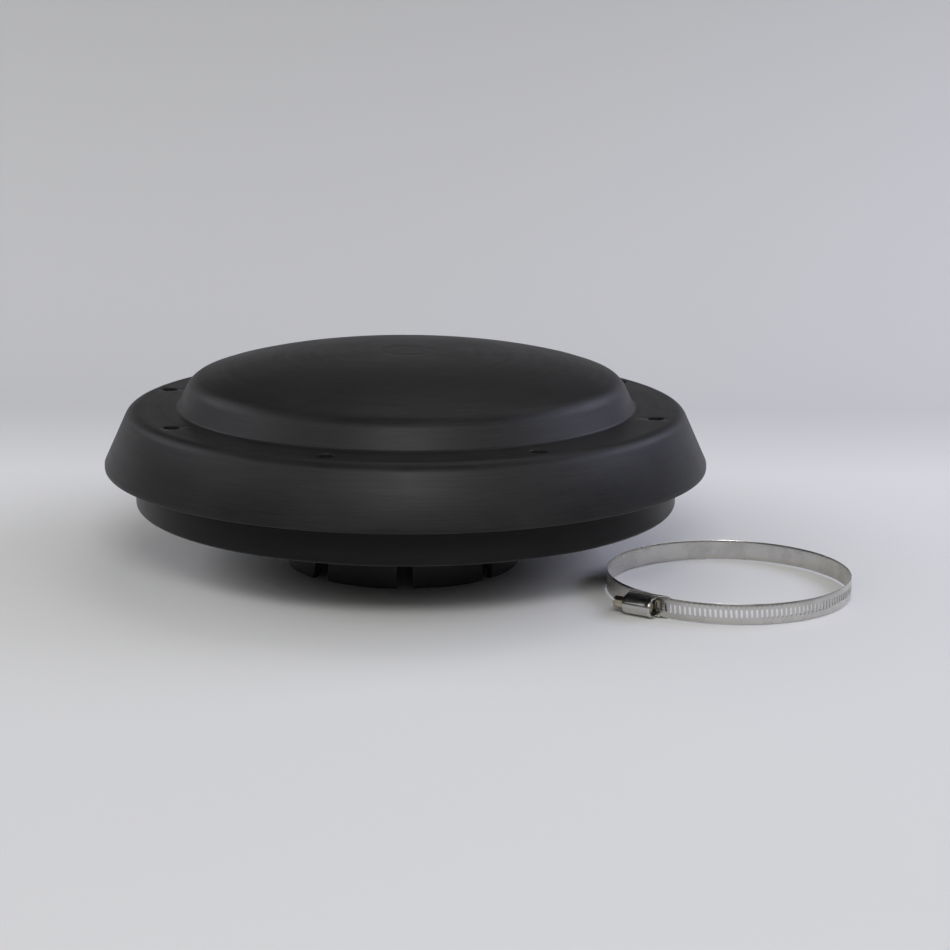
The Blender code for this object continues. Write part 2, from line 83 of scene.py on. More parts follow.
SCREWS = 8
SCREW_CIRCLE_R = 166 * MM
SCREW_ANGLE = math.radians(30)
POCKET_R, POCKET_Z, POCKET_RIM = 5.25 * MM, 93 * MM, 0.45 * MM
POCKET_TUBE_R, POCKET_TUBE_LOW, POCKET_TUBE_TOP = 8 * MM, 90 * MM, 103.2 * MM
POCKET_TUBE_ROUND = 0.8 * MM
SHANK_HOLE_R, SHANK_HOLE_Z = 2.8 * MM, 85 * MM
HEAD_R, HEAD_LOW, HEAD_TOP, HEAD_CURVE = 4.7 * MM, 93.3 * MM, 96.5 * MM, 1.9 * MM
SOCKET_ACROSS, SOCKET_DEEP = 3.0 * MM, 1.8 * MM
SHANK_R, SHANK_END = 2.5 * MM, 70 * MM
SHANK_THREAD_DEEP, SHANK_PITCH = 0.35 * MM, 0.8 * MM
INSERT_LOW, INSERT_HIGH = 77.8 * MM, 89.4 * MM
INSERT_R, INSERT_NECK_R, INSERT_BORE_R = 3.8 * MM, 3.45 * MM, 2.8 * MM
INSERT_TEETH, INSERT_TOOTH_DEEP = 30, 0.3 * MM * 0.8

# ------------------------------------------------------------------ pan, outlet tube, screen
PAN_BORE_R, PAN_WALL_TOP = 75.3 * MM, 86 * MM
PAN_FILLET, PAN_CORNER = 2.5 * MM, 2.6 * MM
GROOVE_SIDE, GROOVE_DEEP = 0.7 * MM, 1.8 * MM
WALL_EDGE, GROOVE_EDGE = 0.25 * MM, 0.2 * MM
POST_R, POST_TOP, POST_FOOT, POST_CHAMFER = 8.5 * MM, 89.7 * MM, 43.5 * MM, 0.6 * MM
POST_HOLE_R, POST_HOLE_Z = 2.8 * MM, 66 * MM
INSERT_HOLE_R, INSERT_HOLE_Z = 4.1 * MM, 77.5 * MM

TUBE_R, TUBE_WALL = 75 * MM, 4.5 * MM
TUBE_SEAT_Z, TUBE_FLANGE_R = 44.8 * MM, 86 * MM
THROAT_STEP, THROAT_EDGE, COLLAR_EDGE = 1.5 * MM, 0.7 * MM, 0.9 * MM
COLLAR_SLOTS = 8
COLLAR_SLOT_ANGLE = math.radians(271)
COLLAR_SLOT_HALF, COLLAR_SLOT_TOP = 5 * MM, 33 * MM
FINGER_ROOT_Z = 34 * MM
# how far each finger has sprung out, or in if negative, at its free end, in mm
FINGER_SPREAD = (0.2, -1.0, -1.4, -0.6, 0.4, 1.2, 3.4, 1.0)

SCREEN_THICK, SCREEN_BORDER = 0.8 * MM, 1.2 * MM
SCREEN_COLUMNS, SCREEN_ROWS, SCREEN_OPEN = 300, 4, 0.70

# ------------------------------------------------------------------ hose clamp
LOOP_CENTRE = Vector((0.206, -0.074))
LOOP_R = 78.5 * MM
LAYER_STEP = 2.2 * MM                               # the band spirals out by this much in a turn
BAND_THICK = 0.6 * MM
BAND_EDGE, BAND_EDGE_ROUND = 0.25 * MM, 0.12 * MM
FOOT_ANGLE = math.radians(237)
SPLIT_ANGLE = math.radians(220)                     # where the slotted part of the loop begins
WORM_PITCH = 3.175 * MM
SLOTS_ON_LOOP, SLOTS_IN_TAIL = 52, 7
BAND_SLOT_H, BAND_SLOT_W = 5.7 * MM, 1.45 * MM
SLOT_LEAN = 0.5 * MM
TAIL_GAP = 0.02 * MM

AXIS_OUT = 4.5 * MM                                 # from the band's outer face to the worm's axis
BARREL_FROM, BARREL_TO = 7.4 * MM, 26.5 * MM
BARREL_R, BARREL_WALL, BARREL_LEG = 6.0 * MM, 1.0 * MM, 6.35 * MM
BARREL_LOW = -AXIS_OUT + 0.3 * MM
MOUTH_LONG, MOUTH_SWELL = 2.2 * MM, 0.25 * MM
NECK_LONG = 1.7 * MM
END_WALL_R, END_HOLE_R = 5.4 * MM, 3.1 * MM
SADDLE_INSIDE, SADDLE_OUTSIDE = 6.65 * MM, 7.15 * MM
SADDLE_HIGH, SADDLE_TOP, SADDLE_LOW = (-AXIS_OUT + 1.9 * MM, -AXIS_OUT - 1.4 * MM,
                                       -AXIS_OUT - 1.9 * MM)
SADDLE_FROM = 0.6 * MM

WORM_TIP, WORM_TIP_LONG, WORM_CORE_R = 8.6 * MM, 1.4 * MM, 3.3 * MM
WORM_R, WORM_THREAD_DEEP = 4.15 * MM, 0.85 * MM
WORM_NECK_R, WORM_COLLAR_R = 2.8 * MM, 4.0 * MM
HEX_ACROSS, HEX_LOW, HEX_HIGH = 6.6 * MM, 28.3 * MM, 34.5 * MM
DRIVER_HALF, DRIVER_DEEP = 0.55 * MM, 1.8 * MM
DRIVER_ANGLE = math.radians(35)

# ------------------------------------------------------------------ studio
OVERHEAD_W, RIGHT_W, LEFT_W, FRONT_W = 7, 18, 10, 18
WALL_GLOW, ROOM_GLOW = 1.7, 0.05
FLOOR_HALF, FLOOR_FRONT, FLOOR_FOLD = 5.0, -3.5, 0.42
SWEEP_R, SWEEP_ANGLE = 0.9, math.radians(60)
CAMERA_PLACE = (0.0452, -1.5519, 0.4127)
CAMERA_PITCH, CAMERA_ROLL = math.radians(12.90), math.radians(0.45)
CAMERA_LENS = 91.4


# ------------------------------------------------------------------ mesh helpers
def mesh_object(name, points, faces, mat, sharp=40.0, recalc=True):
    """A mesh object in the row frame, shaded smooth with creases above the sharp angle."""
    mesh = bpy.data.meshes.new(name)
    mesh.from_pydata([tuple(p) for p in points], [], [tuple(f) for f in faces])
    if recalc:
        shape = bmesh.new()
        shape.from_mesh(mesh)
        bmesh.ops.remove_doubles(shape, verts=shape.verts, dist=1e-7)
        bmesh.ops.recalc_face_normals(shape, faces=shape.faces)
        shape.to_mesh(mesh)
        shape.free()
    mesh.shade_smooth()
    mesh.set_sharp_from_angle(angle=math.radians(sharp))
    if mat is not None:
        mesh.materials.append(mat)
    obj = bpy.data.objects.new(name, mesh)
    bpy.context.scene.collection.objects.link(obj)
    return obj


def arc_corner(before, here, after, radius, steps):
    """Arc of the given radius that rounds one corner of a polyline."""
    here = Vector(here)
    back = (Vector(before) - here).normalized()
    ahead = (Vector(after) - here).normalized()
    half = back.angle(ahead) / 2
    centre = here + (back + ahead).normalized() * radius / math.sin(half)
    start = here + back * radius / math.tan(half) - centre
    end = here + ahead * radius / math.tan(half) - centre
    sweep = math.atan2(start.x * end.y - start.y * end.x, start.dot(end))
    points = []
    for k in range(steps + 1):
        turn = Matrix.Rotation(sweep * k / steps, 2)
        points.append(centre + turn @ start)
    return points


def rounded(corners, steps=6, closed=True):
    """Points along (x, y, rounding) corners, with every rounding drawn as an arc."""
    points = []
    count = len(corners)
    for i, (x, y, radius) in enumerate(corners):
        if radius == 0 or (not closed and i in (0, count - 1)):
            points.append(Vector((x, y)))
            continue
        before, after = corners[i - 1][:2], corners[(i + 1) % count][:2]
        points += arc_corner(before, (x, y), after, radius, steps)
    return points


def inset(points, distance):
    """The open line moved sideways, to the right of its direction."""
    moved = []
    for i, point in enumerate(points):
        back = (point - points[i - 1]).normalized() if i else Vector((0, 0))
        ahead = (points[i + 1] - point).normalized() if i + 1 < len(points) else Vector((0, 0))
        along = (back + ahead).normalized()
        share = 1.0 if i in (0, len(points) - 1) else back.dot(along)
        moved.append(point + Vector((along.y, -along.x)) * distance / share)
    return moved


def turned_data(profile, steps, centre=(0.0, 0.0), phase=0.0):
    """Points and faces of a closed (r, z) profile turned about a vertical line."""
    points, rings = [], []
    for r, z in profile:
        if r < 1e-7:
            rings.append([len(points)] * steps)
            points.append((centre[0], centre[1], z))
            continue
        rings.append(range(len(points), len(points) + steps))
        for k in range(steps):
            angle = phase + 2 * math.pi * k / steps
            points.append((centre[0] + r * math.cos(angle), centre[1] + r * math.sin(angle), z))
    faces = []
    for ring, following in zip(rings, rings[1:] + rings[:1]):
        for k in range(steps):
            after = (k + 1) % steps
            face = list(dict.fromkeys((ring[k], ring[after], following[after], following[k])))
            if len(face) > 2:
                faces.append(face)
    return points, faces


def turned(name, profile, mat, steps=256, centre=(0.0, 0.0), sharp=40.0):
    """A turned solid."""
    points, faces = turned_data([tuple(p) for p in profile], steps, centre)
    return mesh_object(name, points, faces, mat, sharp)


def loft(name, rings, mat, sharp=40.0, closed_path=False, caps=True):
    """Skin over equal rings of points, each ring closed."""
    points = [p for ring in rings for p in ring]
    size, count = len(rings[0]), len(rings)
    faces = []
    spans = count if closed_path else count - 1
    for i in range(spans):
        a, b = i * size, ((i + 1) % count) * size
        for k in range(size):
            after = (k + 1) % size
            faces.append((a + k, a + after, b + after, b + k))
    if caps and not closed_path:
        faces.append(tuple(range(size)))
        faces.append(tuple(range((count - 1) * size, count * size)))
    return mesh_object(name, points, faces, mat, sharp)


def cut(obj, tool, operation='DIFFERENCE'):
    """Apply one boolean and delete its tool."""
    modifier = obj.modifiers.new("cut", 'BOOLEAN')
    modifier.operation = operation
    modifier.solver = 'EXACT'
    modifier.object = tool
    bpy.context.view_layer.update()
    evaluated = obj.evaluated_get(bpy.context.evaluated_depsgraph_get())
    mesh = bpy.data.meshes.new_from_object(evaluated)
    obj.modifiers.remove(modifier)
    old = obj.data
    obj.data = mesh
    bpy.data.meshes.remove(old)
    bpy.data.objects.remove(tool, do_unlink=True)


def join_tools(tools):
    """Several separate tools as one mesh object."""
    shape = bmesh.new()
    for tool in tools:
        shape.from_mesh(tool.data)
    mesh = bpy.data.meshes.new("tools")
    shape.to_mesh(mesh)
    shape.free()
    for tool in tools:
        bpy.data.objects.remove(tool, do_unlink=True)
    obj = bpy.data.objects.new("tools", mesh)
    bpy.context.scene.collection.objects.link(obj)
    return obj


def smooth(obj, sharp=40.0):
    """Shade smooth again after a boolean."""
    obj.data.shade_smooth()
    obj.data.set_sharp_from_angle(angle=math.radians(sharp))


def screw_places():
    """Plan positions of the cover screws."""
    for k in range(SCREWS):
        angle = SCREW_ANGLE + 2 * math.pi * k / SCREWS
        yield k + 1, (SCREW_CIRCLE_R * math.cos(angle), SCREW_CIRCLE_R * math.sin(angle))


# ------------------------------------------------------------------ materials
class Nodes:
    """Short way to write a node tree."""

    def __init__(self, name):
        self.material = bpy.data.materials.new(name)
        self.material.use_nodes = True
        self.tree = self.material.node_tree
        self.shader = self.tree.nodes["Principled BSDF"]

    def add(self, kind, links=None, **settings):
        node = self.tree.nodes.new(kind)
        for key, value in settings.items():
            setattr(node, key, value)
        for key, value in (links or {}).items():
            self.put(node.inputs[key], value)
        return node

    def put(self, socket, value):
        if isinstance(value, bpy.types.NodeSocket):
            self.tree.links.new(value, socket)
        else:
            socket.default_value = value

    def math(self, operation, a, b=0.0, clamp=False):
        node = self.add('ShaderNodeMath', {0: a, 1: b}, operation=operation, use_clamp=clamp)
        return node.outputs[0]

    def noise(self, vector, scale, detail=2.0, rough=0.5):
        links = {"Vector": vector, "Scale": scale, "Detail": detail, "Roughness": rough}
        return self.add('ShaderNodeTexNoise', links).outputs["Fac"]

    def ramp(self, value, low, high, to_low=0.0, to_high=1.0):
        links = {"Value": value, "From Min": low, "From Max": high,
                 "To Min": to_low, "To Max": to_high}
        return self.add('ShaderNodeMapRange', links).outputs["Result"]

    def mix(self, share, a, b):
        node = self.add('ShaderNodeMix', data_type='RGBA')
        self.put(node.inputs["Factor"], share)
        self.put(node.inputs[6], a)
        self.put(node.inputs[7], b)
        return node.outputs[2]

    def bump(self, height, strength, distance, normal=None):
        links = {"Height": height, "Strength": strength, "Distance": distance}
        if normal is not None:
            links["Normal"] = normal
        return self.add('ShaderNodeBump', links).outputs["Normal"]

    def position(self):
        return self.add('ShaderNodeTexCoord').outputs["Object"]


def turned_coordinates(n, along=3.0, across=430.0):
    """Noise space stretched round the hood's axis, so that streaks run round it."""
    parts = n.add('ShaderNodeSeparateXYZ', {0: n.position()})
    x, y, z = parts.outputs
    squares = n.math('ADD', n.math('MULTIPLY', x, x), n.math('MULTIPLY', y, y))
    radius = n.math('MAXIMUM', n.math('SQRT', squares), 1e-4)
    meridian = n.math('MULTIPLY', n.math('SUBTRACT', radius, z), across)
    around_x = n.math('MULTIPLY', n.math('DIVIDE', x, radius), along)
    around_y = n.math('MULTIPLY', n.math('DIVIDE', y, radius), along)
    vector = n.add('ShaderNodeCombineXYZ', {0: around_x, 1: around_y, 2: meridian})
    return vector.outputs[0], radius, z


def black_plastic(name, base, rough, specular, streaks=1.0):
    """Satin black moulded plastic with the fine lines of a turned mould."""
    n = Nodes(name)
    streak_space, radius, height = turned_coordinates(n)
    position = n.position()
    fine = n.noise(streak_space, 2.2, 3.0, 0.7)
    broad = n.noise(streak_space, 0.5, 2.0, 0.5)
    cloud = n.noise(position, 22.0, 4.0, 0.6)
    grain = n.noise(position, 2600.0, 2.0, 0.6)
    specks = n.noise(position, 900.0, 1.0, 0.4)
    speck_mask = n.ramp(specks, 0.70, 0.76)
    lighter = [c * 1.35 + 0.002 for c in base]
    colour = n.mix(n.ramp(cloud, 0.35, 0.7), (*base, 1.0), (*lighter, 1.0))
    streak_tone = n.math('MULTIPLY', n.ramp(fine, 0.42, 0.72), 0.55 * streaks)
    colour = n.mix(streak_tone, colour, (*[c * 2.2 + 0.006 for c in base], 1.0))
    colour = n.mix(n.math('MULTIPLY', speck_mask, 0.04), colour, (0.10, 0.10, 0.105, 1.0))
    n.put(n.shader.inputs["Base Color"], colour)
    roughness = n.math('ADD', n.ramp(cloud, 0.3, 0.7, rough - 0.03, rough + 0.04),
                       n.math('MULTIPLY', n.math('SUBTRACT', broad, 0.5), 0.10 * streaks))
    n.put(n.shader.inputs["Roughness"], roughness)
    n.put(n.shader.inputs["Specular IOR Level"], specular)
    lines = n.math('ADD', n.math('MULTIPLY', fine, 0.6), n.math('MULTIPLY', broad, 0.4))
    normal = n.bump(lines, 0.6 * streaks, 0.00010)
    normal = n.bump(grain, 0.35, 0.00003, normal)
    n.put(n.shader.inputs["Normal"], normal)
    return n.material


def strip_steel(name, base, rough, mottled=0.5):
    """Rolled stainless strip: fine lengthwise lines, soft stains and small scratches."""
    n = Nodes(name)
    position = n.position()
    stretch = n.add('ShaderNodeMapping', {"Vector": position})
    stretch.inputs["Scale"].default_value = (25.0, 25.0, 2600.0)
    lines = n.noise(stretch.outputs[0], 1.0, 3.0, 0.6)
    stains = n.noise(position, 60.0, 4.0, 0.6)
    fine = n.noise(position, 1500.0, 2.0, 0.5)
    darker = [c * 0.72 for c in base]
    colour = n.mix(n.ramp(stains, 0.42, 0.70, 0.0, mottled), (*base, 1.0), (*darker, 1.0))
    n.put(n.shader.inputs["Base Color"], colour)
    n.put(n.shader.inputs["Metallic"], 1.0)
    roughness = n.math('ADD', n.ramp(stains, 0.35, 0.7, rough - 0.05, rough + 0.10),
                       n.math('MULTIPLY', n.math('SUBTRACT', lines, 0.5), 0.18))
    n.put(n.shader.inputs["Roughness"], roughness)
    normal = n.bump(lines, 0.30, 0.00002)
    normal = n.bump(fine, 0.10, 0.00002, normal)
    n.put(n.shader.inputs["Normal"], normal)
    return n.material


def cast_metal(name, base, rough, metallic=1.0, grain_scale=900.0, tone=0.7):
    """Plated or blackened metal with a fine even grain and slight colour clouds."""
    n = Nodes(name)
    position = n.position()
    clouds = n.noise(position, 180.0, 3.0, 0.55)
    grain = n.noise(position, grain_scale, 2.0, 0.6)
    darker = [c * tone for c in base]
    colour = n.mix(n.ramp(clouds, 0.35, 0.65), (*base, 1.0), (*darker, 1.0))
    n.put(n.shader.inputs["Base Color"], colour)
    n.put(n.shader.inputs["Metallic"], metallic)
    n.put(n.shader.inputs["Roughness"], n.ramp(clouds, 0.3, 0.7, rough - 0.05, rough + 0.07))
    n.put(n.shader.inputs["Normal"], n.bump(grain, 0.25, 0.00002))
    return n.material


COVER = black_plastic("cover_plastic_look", (0.0060, 0.0060, 0.0062), 0.45, 0.235)
PAN = black_plastic("pan_plastic_look", (0.0040, 0.0040, 0.0042), 0.38, 0.14, streaks=0.5)
# painted light: the collar's black plastic gets a base colour eight times the cover's, to brighten it
# in the shade under the hood
TUBE = black_plastic("tube_plastic_painted_light_look", (0.0480, 0.0480, 0.0484), 0.50, 0.2, streaks=0.3)
SCREEN = cast_metal("screen_look", (0.035, 0.035, 0.035), 0.45, metallic=0.6)
BLACK_STEEL = cast_metal("black_screw_look", (0.030, 0.030, 0.032), 0.38, metallic=0.9)
BRASS = cast_metal("insert_look", (0.62, 0.44, 0.17), 0.32)
STRIP = strip_steel("strip_look", (0.60, 0.585, 0.56), 0.24)
PRESSED = strip_steel("pressed_look", (0.62, 0.61, 0.59), 0.22, mottled=0.35)
WORM = cast_metal("worm_look", (0.56, 0.50, 0.38), 0.28, tone=0.8)


# ------------------------------------------------------------------ hood
def cover_line(crown_steps, arc_steps):
    """Outside of the cover from the dome's centre to the skirt's lower edge."""
    crown = []
    for k in range(crown_steps):
        share = CROWN_SHARE * k / (crown_steps - 1)
        drop = CROWN_FALL * share ** CROWN_POWER
        crown.append(Vector((CROWN_R * share, CROWN_TOP - drop)))
    corners = [(crown[-1].x, crown[-1].y, 0), SHOULDER, FOOT, CORNER,
               (RIM_R, RIM_TOP_Z, 0), (RIM_R, RIM_Z, 0)]
    return crown[:-1] + rounded(corners, arc_steps, closed=False)


def make_cover():
    """Moulded cover with the eight screw pockets."""
    ring = []
    for r, sink in CENTRE_RING:
        drop = CROWN_FALL * (r * MM / CROWN_R) ** CROWN_POWER
        ring.append(Vector((r * MM, CROWN_TOP - drop - sink * MM)))
    tail = [p for p in cover_line(30, 12) if p.x > CENTRE_RING_END]
    inner = inset(cover_line(12, 6)[:-1], WALL)
    inner[0].x = 0.0
    lip = rounded([(tail[-2].x, tail[-2].y, 0), (RIM_R, RIM_Z, LIP_ROUND),
                   (RIM_R - WALL, RIM_Z, LIP_ROUND), (inner[-1].x, inner[-1].y, 0)], 5, closed=False)
    profile = ring + tail[:-1] + lip[1:-1] + inner[::-1]
    cover = turned("hood_cover", profile, COVER, 288, sharp=32)
    tubes, pockets = [], []
    for _, place in screw_places():
        shape = rounded([(0, POCKET_TUBE_TOP, 0), (POCKET_TUBE_R, POCKET_TUBE_TOP, 0),
                         (POCKET_TUBE_R, POCKET_TUBE_LOW, POCKET_TUBE_ROUND),
                         (0, POCKET_TUBE_LOW, 0)], 4)
        tubes.append(turned("t", shape, None, 40, place))
    cut(cover, join_tools(tubes), 'UNION')
    for _, place in screw_places():
        shape = [(0, FLANGE_Z + CLEAR), (POCKET_R + POCKET_RIM * 1.02, FLANGE_Z + CLEAR)]
        for k in range(7):
            angle = math.pi / 2 * k / 6
            shape.append((POCKET_R + POCKET_RIM - POCKET_RIM * math.sin(angle),
                          FLANGE_Z + 0.02 * MM - POCKET_RIM + POCKET_RIM * math.cos(angle)))
        shape += [(POCKET_R, POCKET_Z), (SHANK_HOLE_R, POCKET_Z), (SHANK_HOLE_R, SHANK_HOLE_Z),
                  (0, SHANK_HOLE_Z)]
        pockets.append(turned("p", shape, None, 48, place))
    cut(cover, join_tools(pockets))
    smooth(cover, 32)
    cover.data.materials.clear()
    cover.data.materials.append(COVER)
    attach(cover, "hood")
    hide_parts("top_cover")


def make_pan():
    """Lower pan with its screen groove and screw posts."""
    inside = PAN_R - WALL
    groove_z = PAN_WALL_TOP - GROOVE_DEEP
    corners = [
        (PAN_BORE_R, PAN_Z + WALL, 0.0),
        (inside, PAN_Z + WALL, PAN_FILLET),
        (inside, PAN_WALL_TOP, WALL_EDGE),
        (inside + GROOVE_SIDE, PAN_WALL_TOP, GROOVE_EDGE),
        (inside + GROOVE_SIDE, groove_z, 0.0),
        (PAN_R - GROOVE_SIDE, groove_z, 0.0),
        (PAN_R - GROOVE_SIDE, PAN_WALL_TOP, GROOVE_EDGE),
        (PAN_R, PAN_WALL_TOP, WALL_EDGE),
        (PAN_R, PAN_Z, PAN_CORNER),
        (PAN_BORE_R, PAN_Z, 0.0),
    ]
    pan = turned("hood_pan", rounded(corners, 8), PAN, 288, sharp=32)
    posts = []
    for _, place in screw_places():
        shape = [(0, POST_HOLE_Z), (POST_HOLE_R, POST_HOLE_Z), (POST_HOLE_R, INSERT_HOLE_Z),
                 (INSERT_HOLE_R, INSERT_HOLE_Z), (INSERT_HOLE_R, POST_TOP),
                 (POST_R - POST_CHAMFER, POST_TOP), (POST_R, POST_TOP - POST_CHAMFER),
                 (POST_R, POST_FOOT), (0, POST_FOOT)]
        posts.append(turned("p", shape, None, 40, place))
    cut(pan, join_tools(posts), 'UNION')
    smooth(pan, 32)
    pan.data.materials.clear()
    pan.data.materials.append(PAN)
    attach(pan, "hood")
    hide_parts("base_pan")


def collar_slot_tools():
    """Round-topped cutters for the collar's slots."""
    half, arc_steps = COLLAR_SLOT_HALF, 8
    tools = []
    for k in range(COLLAR_SLOTS):
        outline = [(-half, -5 * MM), (half, -5 * MM)]
        for j in range(arc_steps + 1):
            angle = math.pi * j / arc_steps
            outline.append((half * math.cos(angle), COLLAR_SLOT_TOP - half + half * math.sin(angle)))
        turn = Matrix.Rotation(COLLAR_SLOT_ANGLE + 2 * math.pi * k / COLLAR_SLOTS, 4, 'Z')
        rings = []
        for depth in (60 * MM, 90 * MM):
            rings.append([turn @ Vector((depth, x, z)) for x, z in outline])
        tools.append(loft("s", rings, None))
    return tools


def spread_fingers(tube):
    """Each finger has sprung out or in a little, most at its free end."""
    between = 2 * math.pi / COLLAR_SLOTS
    for vertex in tube.data.vertices:
        x, y, z = vertex.co
        if z > FINGER_ROOT_Z:
            continue
        angle = (math.atan2(y, x) - COLLAR_SLOT_ANGLE) % (2 * math.pi)
        finger = int(angle / between)
        middle = (finger + 0.5) * 2 * math.pi / COLLAR_SLOTS + COLLAR_SLOT_ANGLE
        bend = ((FINGER_ROOT_Z - z) / FINGER_ROOT_Z) ** 2
        move = FINGER_SPREAD[finger] * MM * bend
        vertex.co.x += move * math.cos(middle)
        vertex.co.y += move * math.sin(middle)


def make_tube():
    """Outlet tube: rain throat, flange, and a collar slit into eight springy fingers."""
    bore = TUBE_R - TUBE_WALL
    throat_r = TUBE_R - THROAT_STEP
    corners = [
        (bore, THROAT_Z, THROAT_EDGE),
        (throat_r, THROAT_Z, THROAT_EDGE),
        (throat_r, TUBE_SEAT_Z + WALL, 2.0 * MM),
        (TUBE_FLANGE_R, TUBE_SEAT_Z + WALL, 0.8 * MM),
        (TUBE_FLANGE_R, TUBE_SEAT_Z, 0.2 * MM),
        (TUBE_R, TUBE_SEAT_Z, 0.0),
        (TUBE_R, 0.0, COLLAR_EDGE),
        (bore, 0.0, COLLAR_EDGE),
    ]
    profile = []
    points = rounded(corners, 5)
    for i, point in enumerate(points):          # more rows down the collar, so fingers can bend
        profile.append(point)
        following = points[(i + 1) % len(points)]
        if abs(following.y - point.y) > 15 * MM:
            rows = 10
            profile += [point.lerp(following, k / rows) for k in range(1, rows)]
    tube = turned("outlet_collar", profile, TUBE, 256, sharp=35)
    cut(tube, join_tools(collar_slot_tools()))
    spread_fingers(tube)
    smooth(tube, 35)
    tube.data.materials.clear()
    tube.data.materials.append(TUBE)
    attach(tube, "hood")
    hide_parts("outlet_tube")


def perforated_ring(name, radius, thick, low, high, columns, rows, open_share, mat):
    """A thin cylinder of sheet with a grid of square holes, as one closed solid."""
    border = SCREEN_BORDER
    pitch = (high - low - 2 * border) / rows
    heights = [low]
    for k in range(rows):
        middle = low + border + (k + 0.5) * pitch
        heights += [middle - open_share * pitch / 2, middle + open_share * pitch / 2]
    heights.append(high)
    angles = []
    for k in range(columns):
        for share in (0.5 - open_share / 2, 0.5 + open_share / 2):
            angles.append(2 * math.pi * (k + share) / columns)
    levels = len(heights)
    points = []
    for angle in angles:
        for r in (radius - thick, radius):
            for z in heights:
                points.append((r * math.cos(angle), r * math.sin(angle), z))
    count = len(angles)

    def at(i, side, row):
        return ((i % count) * 2 + side) * levels + row

    faces = []
    for i in range(count):
        for row in range(levels - 1):
            window = i % 2 == 0 and row % 2 == 1
            if window:
                faces.append((at(i, 0, row), at(i, 1, row), at(i, 1, row + 1), at(i, 0, row + 1)))
                faces.append((at(i + 1, 0, row), at(i + 1, 1, row),
                              at(i + 1, 1, row + 1), at(i + 1, 0, row + 1)))
                for edge in (row, row + 1):
                    faces.append((at(i, 0, edge), at(i + 1, 0, edge),
                                  at(i + 1, 1, edge), at(i, 1, edge)))
                continue
            for side in (0, 1):
                faces.append((at(i, side, row), at(i + 1, side, row),
                              at(i + 1, side, row + 1), at(i, side, row + 1)))
        for row in (0, levels - 1):
            faces.append((at(i, 0, row), at(i + 1, 0, row), at(i + 1, 1, row), at(i, 1, row)))
    return mesh_object(name, points, faces, mat, 30)


def make_screen():
    """Fine perforated steel ring in the pan's groove."""
    screen = perforated_ring("mesh_screen", screen_high[0], SCREEN_THICK, screen_low[2],
                             screen_high[2], SCREEN_COLUMNS, SCREEN_ROWS, SCREEN_OPEN, SCREEN)
    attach(screen, "hood")
    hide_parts("inlet_screen")


def thread_data(radius, depth, pitch, low, high, steps=24):
    """Rings of a screw thread about local Z, from low to high."""
    rings = []
    rows = max(4, int((high - low) / (pitch / 6)))
    for row in range(rows + 1):
        z = low + (high - low) * row / rows
        ring = []
        for k in range(steps):
            angle = 2 * math.pi * k / steps
            phase = (z / pitch - angle / (2 * math.pi)) % 1.0
            crest = 1.0 - abs(phase - 0.5) * 2
            profile = min(1.0, max(0.0, crest * 1.6 - 0.3))
            fade = min(1.0, (z - low) / pitch, (high - z) / pitch)
            r = radius - depth + depth * profile * max(0.0, fade)
            ring.append(Vector((r * math.cos(angle), r * math.sin(angle), z)))
        rings.append(ring)
    return rings


def hex_ring(across, z, steps_per_side=4, rounding=0.0):
    """A hexagon with across-flats width, as steps_per_side points on each side."""
    ring = []
    corner = across / 2 / math.cos(math.pi / 6)
    for side in range(6):
        a = math.pi / 3 * side + math.pi / 6
        b = a + math.pi / 3
        start = Vector((corner * math.cos(a), corner * math.sin(a)))
        end = Vector((corner * math.cos(b), corner * math.sin(b)))
        for k in range(steps_per_side):
            p = start.lerp(end, k / steps_per_side)
            if rounding:
                limit = across / 2 * rounding
                if p.length > limit:
                    p = p.normalized() * limit
            ring.append(Vector((p.x, p.y, z)))
    return ring


def circle_ring(radius, z, steps=24):
    """A circle of points that starts level with a hexagon's first corner."""
    ring = []
    for k in range(steps):
        angle = 2 * math.pi * k / steps + math.pi / 6
        ring.append(Vector((radius * math.cos(angle), radius * math.sin(angle), z)))
    return ring


def screw_rings():
    """A pan-head screw from the floor of its hexagon socket to its tip."""
    rings = [
        hex_ring(SOCKET_ACROSS * 0.4, HEAD_TOP - SOCKET_DEEP - 0.1 * MM),
        hex_ring(SOCKET_ACROSS, HEAD_TOP - SOCKET_DEEP),
        hex_ring(SOCKET_ACROSS, HEAD_TOP - 0.15 * MM),
        hex_ring(SOCKET_ACROSS * 1.08, HEAD_TOP),
    ]
    for k in range(7):
        angle = math.pi / 2 * k / 6
        rings.append(circle_ring(HEAD_R * (0.55 + 0.45 * math.sin(angle)),
                                 HEAD_TOP - HEAD_CURVE * (1 - math.cos(angle))))
    rings.append(circle_ring(HEAD_R, HEAD_LOW + 0.1 * MM))
    rings.append(circle_ring(HEAD_R - 0.1 * MM, HEAD_LOW))
    rings.append(circle_ring(SHANK_R, HEAD_LOW))
    rings.append(circle_ring(SHANK_R, HEAD_LOW - 3 * MM))
    thread = thread_data(SHANK_R, SHANK_THREAD_DEEP, SHANK_PITCH, SHANK_END + 0.6 * MM,
                         HEAD_LOW - 3.2 * MM)
    rings += reversed(thread)
    rings.append(circle_ring(SHANK_R * 0.75, SHANK_END))
    return rings


def knurled_ring(radius, z, deep):
    """A ring whose every second point is sunk by a tooth's depth."""
    ring = []
    for k in range(INSERT_TEETH * 2):
        angle = 2 * math.pi * k / (INSERT_TEETH * 2)
        reach = radius - (deep if k % 2 else 0.0)
        ring.append(Vector((reach * math.cos(angle), reach * math.sin(angle), z)))
    return ring


